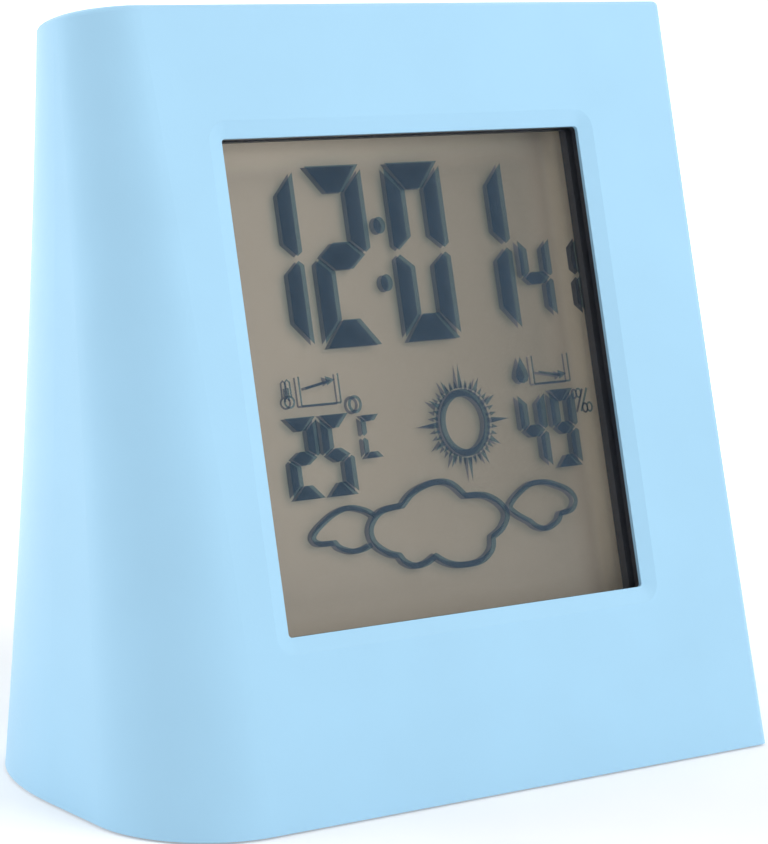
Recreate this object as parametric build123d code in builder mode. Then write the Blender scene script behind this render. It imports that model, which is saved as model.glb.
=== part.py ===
from build123d import *
import os
from math import atan, cos, degrees, radians, sin, tan

os.makedirs("parts", exist_ok=True)

# A table clock that also shows temperature and humidity. Its casing is one moulding, open below, with a
# flat face that leans back, a rounded left side, a plain right side with a crisp front edge, an almost
# upright rear and a top that falls to the rear.
# Millimetres. The origin is on the table under the middle of the casing, +Y goes to the rear and +Z up.
# The inner pieces are placed from a middle line that stands to the right of the casing's own middle.

# Casing
body_height = 100
left_reach_base = 53
left_reach_top = 48.3
right_reach_base = 44.1
right_reach_top = 43.7
waist_draw = 0.6
right_waist_draw = 0.3
base_depth = 56
top_depth = 24
lean_angle = 15
top_fall_angle = 12.5
front_radius_base = 15.5
front_radius_top = 7.5
side_flat_base = 12.7
side_flat_top = 0.5
rear_round_base = 16.8
rear_round_top = 17.2
right_front_radius = 1.2
right_rear_radius = 8
inner_corner_radius = 0.5
wall = 2
top_edge_radius = 0.8
foot_rise = 0.3
overrun = 2

# Window
window_width = 57.2
window_low = 23.7
window_head = 17.1
window_shift = -2.4
window_radius = 0.5
bevel_width = 2.2
bevel_depth = 0.6

# Lens, display frame and display cell, one behind the other
lens_lap = 2.4
lens_thickness = 1.2
frame_wall = 1.5
fit_gap = 0.1
aperture_depth = 1
cell_side_lap = 1.9
cell_end_lap = 2.85
glass_thickness = 1.1
contact_ledge = 1.9
film_thickness = 0.2
film_border = 0.4
strip_thickness = 1.3
strip_border = 3
board_gap = 3

# Main board
board_trim = 0.3
board_side_margin = 2.8
board_thickness = 1.6
board_corner_radius = 1.5
board_boss_radius = 3
board_boss_drop = 1.4
board_boss_margin = 0.6
board_boss_root = 1
chip_radius = 8
chip_height = 1.6
chip_edge_radius = 1.4
chip_shift = 12
chip_rise = -8
crystal_radius = 1
crystal_length = 6
crystal_shift = -12
crystal_rise = 4
capacitor_radius = 2.5
capacitor_height = 5.4
capacitor_spacing = 7
capacitor_side_inset = 15
capacitor_inset = 13.2

# Screws
screw_radius = 1.1
screw_gap = 0.05
screw_bite = 6
screw_head_radius = 2.2
screw_head_height = 1.3
screw_head_edge_radius = 0.4
screw_cross_length = 2.6
screw_cross_width = 0.6
screw_cross_depth = 0.7
boss_wall = 2

# Base plate and feet
base_thickness = 2.3
base_gap = 0.15
base_boss_height = 9
front_boss_side_inset = 19
front_boss_inset = 7
side_boss_inset = 4.9
side_boss_y = 2
foot_radius = 4
foot_thickness = 1.3
foot_side_inset = 15
foot_inset = 14
post_width = 7
post_depth = 7
post_height = 13

# Rear cover
cover_base_half_width = 34
cover_top_half_width = 29
cover_low = 5
cover_head = 5.75
cover_corner_radius = 4
cover_gap = 0.15
cover_lip = 1.6
rebate_depth = 1
cover_thickness = 2.2
cover_screw_x = 29
cover_screw_rise = 9.2
hook_x = 18
hook_width = 6
hook_reach = 2.2
hook_thickness = 1.4
hook_root = 2.5
hook_gap = 0.15

# Battery box and cells
cell_radius = 5.25
cell_length = 43.7
nub_radius = 1.9
nub_height = 0.8
cell_edge_radius = 0.5
cell_spacing = 11
cell_gap = 0.3
cell_cover_gap = 0.65
bay_rise = 28
bay_height = 23.4
bay_shoulder = 1.5
bay_wall = 2
bay_floor = 1.2

# Battery contacts
contact_thickness = 0.4
contact_size = 9
contact_bump_radius = 2.4
contact_bump_height = 1.2
contact_bump_edge = 0.5
spring_length = 6.35
spring_radius = 3.4
spring_tip_radius = 2.3
spring_turns = 4
spring_wire_radius = 0.35
spring_end_gap = 0.15

# Battery door
door_ledge = 1.2
door_gap = 0.3
door_thickness = 1.6
door_seat_gap = 0.2
door_radius = 1.2
tab_x = 16
tab_width = 6
tab_reach = 1.4
tab_thickness = 0.8
tab_gap = 0.3
tab_side_gap = 0.5
tab_root = 2.2
tab_root_start = 0.6
tab_slot_height = 2.4
latch_width = 11
latch_slot_width = 1
latch_slot_length = 9
latch_lip_height = 1.6
latch_lip_width = 1.2
latch_lip_gap = 0.8
catch_ledge = 0.6
catch_height = 1.2
catch_depth = 1
catch_side_gap = 0.5
scoop_radius = 6
scoop_depth = 1.2
grip_rib_count = 4
grip_rib_length = 8
grip_rib_width = 0.8
grip_rib_spacing = 1.8
grip_rib_height = 0.3
grip_rib_edge_gap = 1.4

# Buttons, key pad and key board
button_names = ["button_mode", "button_set", "button_up", "button_down"]
button_spacing = 14
button_head = 11
button_radius = 3.5
button_gap = 0.3
button_stand = 1.3
button_dish_radius = 9
button_dish_depth = 0.35
button_edge_radius = 0.5
button_flange_width = 1
button_flange_thickness = 1
button_flange_gap = 0.1
button_pill_radius = 2
button_travel = 0.9
pill_gap = 0.1
pad_width = 54
pad_height = 10
pad_corner_radius = 2
pad_thickness = 0.8
pad_collar_rise = 0.8
pad_collar_wall = 1.2
pad_collar_gap = 0.5
key_board_depth = 6
key_board_width = 58
key_board_height = 12
key_board_thickness = 1.2
key_post_x = 14
key_post_radius = 1.9
key_screw_bite = 3

# Sounder
sounder_x = 15
sounder_share = 0.33
sounder_plate_thickness = 0.25
ceramic_share = 0.7
ceramic_thickness = 0.25
sounder_ring_wall = 1.2
sounder_ring_height = 2.2
sounder_step_height = 0.8
sounder_step_width = 1
sound_hole_radius_share = 0.08
sound_hole_offset_share = 0.4
sound_hole_count = 6

# Sensor board with its humidity sensor and thermistor, behind the vents
vent_x = -15
vent_length = 15
vent_spacing_share = 0.0925
vent_width_share = 0.46
vent_count = 5
sensor_board_width = 22
sensor_board_share = 0.5
sensor_board_thickness = 1
sensor_board_depth = 6.4
sensor_post_radius = 1.6
sensor_post_inset = 1.8
sensor_pin_radius = 0.8
sensor_pin_rise = 0.5
humidity_width = 6
humidity_height_share = 0.53
humidity_thickness = 2.4
humidity_shift = -2
humidity_grille_length = 4.4
humidity_grille_width = 0.7
humidity_grille_spacing_share = 0.2
humidity_grille_count = 3
humidity_grille_depth = 0.5
thermistor_radius = 1.1
thermistor_length = 2.6
thermistor_edge_radius = 0.9
thermistor_shift = 5

# Ribbon from the main board to the key board, and the two battery leads
ribbon_width = 10
ribbon_thickness = 0.3
ribbon_face_rise = 18
ribbon_board_drop = 3
ribbon_straight_share = 0.27
ribbon_sag_share = 0.45
ribbon_radius_share = 0.13
lead_radius = 0.6
lead_out = 7.5
lead_run = 15
lead_board_x = 31
lead_board_rises = [-30, -18]
lead_straight = 6
lead_radii = [3.2, 5, 5]

# Worked out from the sizes above
quarter_turn = 90
middle_x = (left_reach_base - right_reach_base) / 2
lean = radians(lean_angle)
top_fall = radians(top_fall_angle)
rear_lean = atan((base_depth - top_depth - body_height * tan(lean)) / body_height)
top_front_y = body_height * tan(lean) - base_depth / 2
top_z = foot_rise + body_height
face_length = body_height / cos(lean)
rear_length = (body_height - tan(top_fall) * (base_depth - body_height * tan(lean))) / (
    cos(rear_lean) - tan(top_fall) * sin(rear_lean)
)
window_height = face_length - window_low - window_head
window_rise = window_low + window_height / 2
lens_depth = wall
aperture_start = lens_depth + lens_thickness
front_glass_depth = aperture_start + aperture_depth
back_glass_depth = front_glass_depth + glass_thickness
film_depth = back_glass_depth + glass_thickness
board_depth = film_depth + board_gap
board_rear = board_depth + board_thickness
lens_width = window_width + 2 * lens_lap
lens_height = window_height + 2 * lens_lap
glass_width = window_width + 2 * cell_side_lap
glass_height = window_height + 2 * cell_end_lap
frame_width = lens_width + 2 * (fit_gap + frame_wall)
frame_height = lens_height + 2 * (fit_gap + frame_wall)
board_boss_x = frame_width / 2 + board_boss_margin + board_boss_radius
board_boss_rise = window_height / 2 - board_boss_drop
board_width = 2 * (board_boss_x + board_side_margin)
board_height = frame_height - board_trim
capacitor_shift = capacitor_side_inset - board_width / 2
capacitor_rise = board_height / 2 - capacitor_inset
screw_hole_radius = screw_radius + screw_gap
base_top = foot_rise + base_thickness
base_boss_radius = screw_hole_radius + boss_wall
front_boss_y = front_boss_inset - base_depth / 2
base_screw_places = [
    (front_boss_side_inset - left_reach_base, front_boss_y),
    (right_reach_base - front_boss_side_inset, front_boss_y),
    (side_boss_inset - left_reach_base, side_boss_y),
    (right_reach_base - side_boss_inset, side_boss_y),
]
foot_y = base_depth / 2 - foot_inset
foot_places = [
    (x, y)
    for x in (foot_side_inset - left_reach_base, right_reach_base - foot_side_inset)
    for y in (-foot_y, foot_y)
]
cell_depth = door_thickness + cell_cover_gap + cell_radius
bay_length = (
    2 * contact_thickness + contact_bump_height + nub_height + cell_length + spring_end_gap + spring_length
)
bay_depth = cell_depth + bay_shoulder
bay_top = bay_rise + bay_height / 2 + bay_wall
box_depth = cell_depth + cell_radius + cell_gap + bay_floor
pocket_depth = door_thickness + door_seat_gap
pocket_length = bay_length + 2 * door_ledge
pocket_height = bay_height + 2 * door_ledge
hinge_rise = bay_rise - pocket_height / 2
cover_high = rear_length - cover_head
button_rise = cover_high - button_head
button_places = [button_spacing * (index - (len(button_names) - 1) / 2) for index in range(len(button_names))]
flange_radius = button_radius + button_flange_width
flange_depth = cover_thickness + button_flange_gap
flange_end = flange_depth + button_flange_thickness
pill_end = key_board_depth - button_travel - pill_gap
middle_room = button_rise - key_board_height / 2 - bay_top
middle_rise = bay_top + middle_room / 2
sounder_radius = middle_room * sounder_share
ceramic_radius = sounder_radius * ceramic_share
sound_hole_radius = sounder_radius * sound_hole_radius_share
sound_hole_offset = sounder_radius * sound_hole_offset_share
vent_spacing = middle_room * vent_spacing_share
vent_width = vent_spacing * vent_width_share
sensor_board_height = middle_room * sensor_board_share
humidity_height = sensor_board_height * humidity_height_share
humidity_grille_spacing = humidity_height * humidity_grille_spacing_share

# The planes that carry the pieces: x runs across, y runs up along the face or the rear, z points outward
floor_plane = Plane(origin=(middle_x, 0, 0))
base_plane = floor_plane.offset(foot_rise)
front_plane = Plane(
    origin=(middle_x, -base_depth / 2, foot_rise), x_dir=(1, 0, 0), z_dir=(0, -cos(lean), sin(lean))
)
face_plane = Plane(
    origin=front_plane.from_local_coords((window_shift, window_rise, 0)),
    x_dir=front_plane.x_dir,
    z_dir=front_plane.z_dir,
)
rear_plane = Plane(
    origin=(middle_x, base_depth / 2, foot_rise),
    x_dir=(-1, 0, 0),
    z_dir=(0, cos(rear_lean), sin(rear_lean)),
)
top_plane = Plane(
    origin=(middle_x, top_front_y, top_z), x_dir=(1, 0, 0), z_dir=(0, sin(top_fall), cos(top_fall))
)


def end_plane(side):
    """The battery bay's end wall at the cells' depth: across the cells, and z along them into the bay."""
    return Plane(
        origin=rear_plane.from_local_coords((side * bay_length / 2, bay_rise, -cell_depth)),
        x_dir=-side * rear_plane.y_dir,
        z_dir=-side * rear_plane.x_dir,
    )


def blend(base, top, height):
    """A size that runs evenly from the base of the casing to its top."""
    return base + (top - base) * height / body_height


def casing_outline(height, draw, right_draw, inset):
    """One level section of the casing: flat front, round left side, straight right side, and the rear."""
    left = blend(left_reach_base, left_reach_top, height) - draw - inset
    right = blend(right_reach_base, right_reach_top, height) - right_draw - inset
    outer_front_y = height * tan(lean) - base_depth / 2
    rear_y = outer_front_y + blend(base_depth, top_depth, height) - inset
    front_y = outer_front_y + inset / cos(lean)
    left_radius = blend(front_radius_base, front_radius_top, height) - inset
    right_radius = max(right_front_radius - inset, inner_corner_radius)
    right_round = right_rear_radius - inset
    left_round = blend(rear_round_base, rear_round_top, height) - inset
    corner_y = front_y + left_radius
    side_end_y = corner_y + blend(side_flat_base, side_flat_top, height)
    with BuildLine() as outline:
        Line((left_radius - left, front_y), (right - right_radius, front_y))
        TangentArc((right - right_radius, front_y), (right, front_y + right_radius), tangent=(1, 0))
        Line((right, front_y + right_radius), (right, rear_y - right_round))
        TangentArc((right, rear_y - right_round), (right - right_round, rear_y), tangent=(0, 1))
        Line((right - right_round, rear_y), (left_round - left, rear_y))
        EllipticalCenterArc(
            (left_round - left, side_end_y),
            left_round,
            rear_y - side_end_y,
            start_angle=quarter_turn,
            arc_size=quarter_turn,
        )
        Line((-left, side_end_y), (-left, corner_y))
        TangentArc((-left, corner_y), (left_radius - left, front_y), tangent=(0, -1))
    make_face(outline.edges())


def cover_outline(inset):
    """The rear cover's outline: sides that close in towards the top, with rounded corners."""
    with BuildLine() as outline:
        Polyline(
            (-cover_base_half_width, cover_low),
            (cover_base_half_width, cover_low),
            (cover_top_half_width, cover_high),
            (-cover_top_half_width, cover_high),
            close=True,
        )
    make_face(outline.edges())
    fillet(vertices(), radius=cover_corner_radius)
    offset(amount=-inset, mode=Mode.REPLACE)


def make_screws(seat_plane, places, length):
    """Pan-head screws: the heads stand on the plane and the shanks go down from it."""
    with BuildSketch(seat_plane) as heads:
        with Locations(*places):
            Circle(screw_head_radius)
    extrude(heads.sketch, amount=screw_head_height)
    outward = Axis(seat_plane.origin, seat_plane.z_dir)
    fillet(edges().group_by(outward)[-1], radius=screw_head_edge_radius)
    with BuildSketch(seat_plane) as shanks:
        with Locations(*places):
            Circle(screw_radius)
    extrude(shanks.sketch, amount=-length)
    with BuildSketch(seat_plane.offset(screw_head_height)) as crosses:
        with Locations(*places):
            Rectangle(screw_cross_length, screw_cross_width)
            Rectangle(screw_cross_width, screw_cross_length)
    extrude(crosses.sketch, amount=-screw_cross_depth, mode=Mode.SUBTRACT)


def make_cell(side):
    """One cell with its positive nub against the bump at the given end of the bay."""
    nub_plane = end_plane(side).offset(contact_thickness + contact_bump_height)
    with BuildSketch(nub_plane.offset(nub_height)) as can:
        with Locations((-cell_spacing / 2, 0)):
            Circle(cell_radius)
    extrude(can.sketch, amount=cell_length)
    fillet(edges().filter_by(GeomType.CIRCLE), radius=cell_edge_radius)
    with BuildSketch(nub_plane) as nub:
        with Locations((-cell_spacing / 2, 0)):
            Circle(nub_radius)
    extrude(nub.sketch, amount=nub_height + cell_edge_radius)


def make_contact_plate(side, centre):
    """A sprung steel plate against the end wall: straight above the cell's middle, round below it."""
    with BuildSketch(end_plane(side)) as plate:
        with Locations((centre, 0)):
            Circle(contact_size / 2)
            Rectangle(contact_size, contact_size / 2, align=(Align.CENTER, Align.MIN))
    extrude(plate.sketch, amount=contact_thickness)


def make_contact_bump(side):
    """The pressed bump that meets a cell's nub."""
    with BuildSketch(end_plane(side).offset(contact_thickness)) as bump:
        with Locations((-cell_spacing / 2, 0)):
            Circle(contact_bump_radius)
    extrude(bump.sketch, amount=contact_bump_height)
    inward = Axis(end_plane(side).origin, end_plane(side).z_dir)
    fillet(edges().group_by(inward)[-1], radius=contact_bump_edge)


def make_contact_spring(side):
    """The cone-shaped coil that presses on a cell's flat end."""
    seat = end_plane(side).offset(contact_thickness)
    height = spring_length - spring_wire_radius
    taper = degrees(atan((spring_radius - spring_tip_radius) / height))
    with BuildLine() as coil:
        Helix(
            pitch=height / spring_turns,
            height=height,
            radius=spring_radius,
            center=seat.from_local_coords((cell_spacing / 2, 0, 0)),
            direction=seat.z_dir,
            cone_angle=-taper,
        )
    with BuildSketch(Plane(origin=coil.line @ 0, z_dir=coil.line % 0)) as wire:
        Circle(spring_wire_radius)
    sweep(wire.sketch, path=coil.line)


def make_button(x):
    """One push button: dished cap, the flange that keeps it in, and the stem over the key pad."""
    outward = Axis(rear_plane.origin, rear_plane.z_dir)
    with BuildSketch(rear_plane.offset(button_stand)) as cap:
        with Locations((x, button_rise)):
            Circle(button_radius)
    extrude(cap.sketch, amount=-(button_stand + flange_depth))
    fillet(edges().group_by(outward)[-1], radius=button_edge_radius)
    dish_height = button_stand - button_dish_depth + button_dish_radius
    with Locations(rear_plane.from_local_coords((x, button_rise, dish_height))):
        Sphere(button_dish_radius, mode=Mode.SUBTRACT)
    with BuildSketch(rear_plane.offset(-flange_depth)) as flange:
        with Locations((x, button_rise)):
            Circle(flange_radius)
    extrude(flange.sketch, amount=-button_flange_thickness)
    with BuildSketch(rear_plane.offset(-flange_end)) as stem:
        with Locations((x, button_rise)):
            Circle(button_pill_radius)
    extrude(stem.sketch, amount=flange_end - pill_end)


def make_lead(centre, board_rise, radii):
    """A wire from the back of a contact plate, out of the battery box, and round to the main board."""
    end_wall = end_plane(-1)
    with BuildLine() as route:
        FilletPolyline(
            end_wall.from_local_coords((centre, 0, 0)),
            end_wall.from_local_coords((centre, 0, -lead_out)),
            end_wall.from_local_coords((centre, -lead_run, -lead_out)),
            face_plane.from_local_coords((lead_board_x, board_rise, -(board_rear + lead_straight))),
            face_plane.from_local_coords((lead_board_x, board_rise, -board_rear)),
            radius=radii,
        )
    with BuildSketch(Plane(origin=route.line @ 0, z_dir=route.line % 0)) as wire:
        Circle(lead_radius)
    sweep(wire.sketch, path=route.line)


# Casing moulding
with BuildPart() as cavity:
    for height, waist in ((-overrun, 0), (body_height / 2, 1), (body_height + overrun, 0)):
        with BuildSketch(base_plane.offset(height)):
            casing_outline(height, waist * waist_draw, waist * right_waist_draw, wall)
    loft()
    split(bisect_by=top_plane.offset(-wall), keep=Keep.BOTTOM)

with BuildPart() as casing:
    for height, waist in ((0, 0), (body_height / 2, 1), (body_height + overrun, 0)):
        with BuildSketch(base_plane.offset(height)):
            casing_outline(height, waist * waist_draw, waist * right_waist_draw, 0)
    loft()
    split(bisect_by=top_plane, keep=Keep.BOTTOM)
    fillet(casing.faces().sort_by(Axis.Z)[-1].edges(), radius=top_edge_radius)
    add(cavity.part, mode=Mode.SUBTRACT)
    # Window: a shallow bevel round a straight-walled opening
    with BuildSketch(face_plane):
        RectangleRounded(
            window_width + 2 * bevel_width, window_height + 2 * bevel_width, window_radius + bevel_width
        )
    with BuildSketch(face_plane.offset(-bevel_depth)):
        RectangleRounded(window_width, window_height, window_radius)
    loft(mode=Mode.SUBTRACT)
    with BuildSketch(face_plane):
        RectangleRounded(window_width, window_height, window_radius)
    extrude(amount=-(wall + overrun), mode=Mode.SUBTRACT)
    # Rear opening with a rebate for the cover
    with BuildSketch(rear_plane):
        cover_outline(0)
    extrude(amount=-rebate_depth, mode=Mode.SUBTRACT)
    with BuildSketch(rear_plane):
        cover_outline(cover_lip)
    extrude(amount=-(wall + overrun), mode=Mode.SUBTRACT)
    # Bosses behind the face for the main board
    with BuildSketch(face_plane.offset(-board_boss_root)):
        with GridLocations(2 * board_boss_x, 2 * board_boss_rise, 2, 2):
            Circle(board_boss_radius)
    extrude(amount=board_boss_root - board_depth)
    with BuildSketch(face_plane.offset(-board_depth)):
        with GridLocations(2 * board_boss_x, 2 * board_boss_rise, 2, 2):
            Circle(screw_hole_radius)
    extrude(amount=screw_bite, mode=Mode.SUBTRACT)
    # Bosses along the walls for the base plate
    with BuildSketch(floor_plane.offset(base_top)):
        with Locations(*base_screw_places):
            Circle(base_boss_radius)
    extrude(amount=base_boss_height)
    with BuildSketch(floor_plane.offset(base_top)):
        with Locations(*base_screw_places):
            Circle(screw_hole_radius)
    extrude(amount=screw_bite + screw_gap, mode=Mode.SUBTRACT)
casing.part.label = "casing"
export_step(casing.part, "parts/casing.step")

# Base plate with foot seats, screw holes and two posts that hold the rear cover
with BuildPart() as base_plate:
    for height in (0, base_thickness):
        with BuildSketch(base_plane.offset(height)):
            casing_outline(height, 0, 0, wall + base_gap)
    loft()
    with BuildSketch(rear_plane.offset(-(cover_thickness + fit_gap))):
        with Locations((-cover_screw_x, 0), (cover_screw_x, 0)):
            Rectangle(post_width, post_height, align=(Align.CENTER, Align.MIN))
    extrude(amount=-post_depth)
    split(bisect_by=base_plane, keep=Keep.TOP)
    with BuildSketch(rear_plane.offset(-(cover_thickness + fit_gap))):
        with Locations((-cover_screw_x, cover_screw_rise), (cover_screw_x, cover_screw_rise)):
            Circle(screw_hole_radius)
    extrude(amount=-screw_bite, mode=Mode.SUBTRACT)
    with BuildSketch(base_plane):
        with Locations(*foot_places):
            Circle(foot_radius + fit_gap)
    extrude(amount=foot_thickness - foot_rise, mode=Mode.SUBTRACT)
    with BuildSketch(base_plane):
        with Locations(*base_screw_places):
            Circle(screw_hole_radius + fit_gap)
    extrude(amount=base_thickness, mode=Mode.SUBTRACT)
    with BuildSketch(base_plane):
        with Locations(*base_screw_places):
            Circle(screw_head_radius + fit_gap)
    extrude(amount=screw_head_height, mode=Mode.SUBTRACT)
base_plate.part.label = "base_plate"
export_step(base_plate.part, "parts/base_plate.step")

# Feet
with BuildPart() as rubber_feet:
    with BuildSketch(floor_plane):
        with Locations(*foot_places):
            Circle(foot_radius)
    extrude(amount=foot_thickness)
rubber_feet.part.label = "rubber_feet"
export_step(rubber_feet.part, "parts/rubber_feet.step")

with BuildPart() as base_screws:
    make_screws(
        Plane(origin=(middle_x, 0, foot_rise + screw_head_height), x_dir=(1, 0, 0), z_dir=(0, 0, -1)),
        [(x, -y) for x, y in base_screw_places],
        base_thickness - screw_head_height + screw_bite,
    )
base_screws.part.label = "base_screws"
export_step(base_screws.part, "parts/base_screws.step")

# Lens and the dark frame that holds the display cell behind it
with BuildPart() as lens:
    with BuildSketch(face_plane.offset(-lens_depth)):
        Rectangle(lens_width, lens_height)
    extrude(amount=-lens_thickness)
lens.part.label = "lens"
export_step(lens.part, "parts/lens.step")

with BuildPart() as display_frame:
    with BuildSketch(face_plane.offset(-lens_depth)):
        Rectangle(frame_width, frame_height)
    extrude(amount=lens_depth - board_depth)
    with BuildSketch(face_plane.offset(-lens_depth)):
        Rectangle(lens_width + 2 * fit_gap, lens_height + 2 * fit_gap)
    extrude(amount=-lens_thickness, mode=Mode.SUBTRACT)
    with BuildSketch(face_plane.offset(-lens_depth)):
        RectangleRounded(window_width, window_height, window_radius)
    extrude(amount=lens_depth - board_depth, mode=Mode.SUBTRACT)
    with BuildSketch(face_plane.offset(-front_glass_depth)):
        Rectangle(glass_width + 2 * fit_gap, glass_height + 2 * fit_gap)
    extrude(amount=front_glass_depth - board_depth, mode=Mode.SUBTRACT)
display_frame.part.label = "display_frame"
export_step(display_frame.part, "parts/display_frame.step")

# Display cell: two sheets of glass, the film behind them, and the rubber strips that feed the segments
with BuildPart() as front_glass:
    with BuildSketch(face_plane.offset(-front_glass_depth)):
        Rectangle(glass_width, glass_height)
    extrude(amount=-glass_thickness)
front_glass.part.label = "front_glass"
export_step(front_glass.part, "parts/front_glass.step")

with BuildPart() as back_glass:
    with BuildSketch(face_plane.offset(-back_glass_depth)):
        Rectangle(glass_width, glass_height - 2 * contact_ledge)
    extrude(amount=-glass_thickness)
back_glass.part.label = "back_glass"
export_step(back_glass.part, "parts/back_glass.step")

with BuildPart() as reflector_film:
    with BuildSketch(face_plane.offset(-film_depth)):
        Rectangle(glass_width - 2 * film_border, glass_height - 2 * contact_ledge - 2 * film_border)
    extrude(amount=-film_thickness)
reflector_film.part.label = "reflector_film"
export_step(reflector_film.part, "parts/reflector_film.step")

with BuildPart() as contact_strips:
    with BuildSketch(face_plane.offset(-back_glass_depth)):
        with GridLocations(0, glass_height - contact_ledge, 1, 2):
            Rectangle(glass_width - 2 * strip_border, strip_thickness)
    extrude(amount=back_glass_depth - board_depth)
contact_strips.part.label = "contact_strips"
export_step(contact_strips.part, "parts/contact_strips.step")

# Main board with its screws, potted chip, crystal and capacitors
with BuildPart() as main_board:
    with BuildSketch(face_plane.offset(-board_depth)):
        RectangleRounded(board_width, board_height, board_corner_radius)
        with GridLocations(2 * board_boss_x, 2 * board_boss_rise, 2, 2):
            Circle(screw_hole_radius + fit_gap, mode=Mode.SUBTRACT)
    extrude(amount=-board_thickness)
main_board.part.label = "main_board"
export_step(main_board.part, "parts/main_board.step")

with BuildPart() as board_screws:
    make_screws(
        Plane(
            origin=face_plane.from_local_coords((0, 0, -board_rear)),
            x_dir=face_plane.x_dir,
            z_dir=-face_plane.z_dir,
        ),
        [(x, y) for x in (-board_boss_x, board_boss_x) for y in (-board_boss_rise, board_boss_rise)],
        board_thickness + screw_bite - screw_gap,
    )
board_screws.part.label = "board_screws"
export_step(board_screws.part, "parts/board_screws.step")

with BuildPart() as main_chip:
    with BuildSketch(face_plane.offset(-board_rear)):
        with Locations((chip_shift, chip_rise)):
            Circle(chip_radius)
    extrude(amount=-chip_height)
    fillet(main_chip.edges().group_by(Axis(face_plane.origin, face_plane.z_dir))[0], radius=chip_edge_radius)
main_chip.part.label = "main_chip"
export_step(main_chip.part, "parts/main_chip.step")

with BuildPart() as quartz_crystal:
    crystal_start = (crystal_shift - crystal_length / 2, crystal_rise, -(board_rear + crystal_radius))
    with BuildSketch(
        Plane(
            origin=face_plane.from_local_coords(crystal_start),
            x_dir=face_plane.y_dir,
            z_dir=face_plane.x_dir,
        )
    ):
        Circle(crystal_radius)
    extrude(amount=crystal_length)
quartz_crystal.part.label = "quartz_crystal"
export_step(quartz_crystal.part, "parts/quartz_crystal.step")

with BuildPart() as capacitors:
    with BuildSketch(face_plane.offset(-board_rear)):
        with Locations(
            (capacitor_shift, capacitor_rise - capacitor_spacing / 2),
            (capacitor_shift, capacitor_rise + capacitor_spacing / 2),
        ):
            Circle(capacitor_radius)
    extrude(amount=-capacitor_height)
capacitors.part.label = "capacitors"
export_step(capacitors.part, "parts/capacitors.step")

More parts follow.
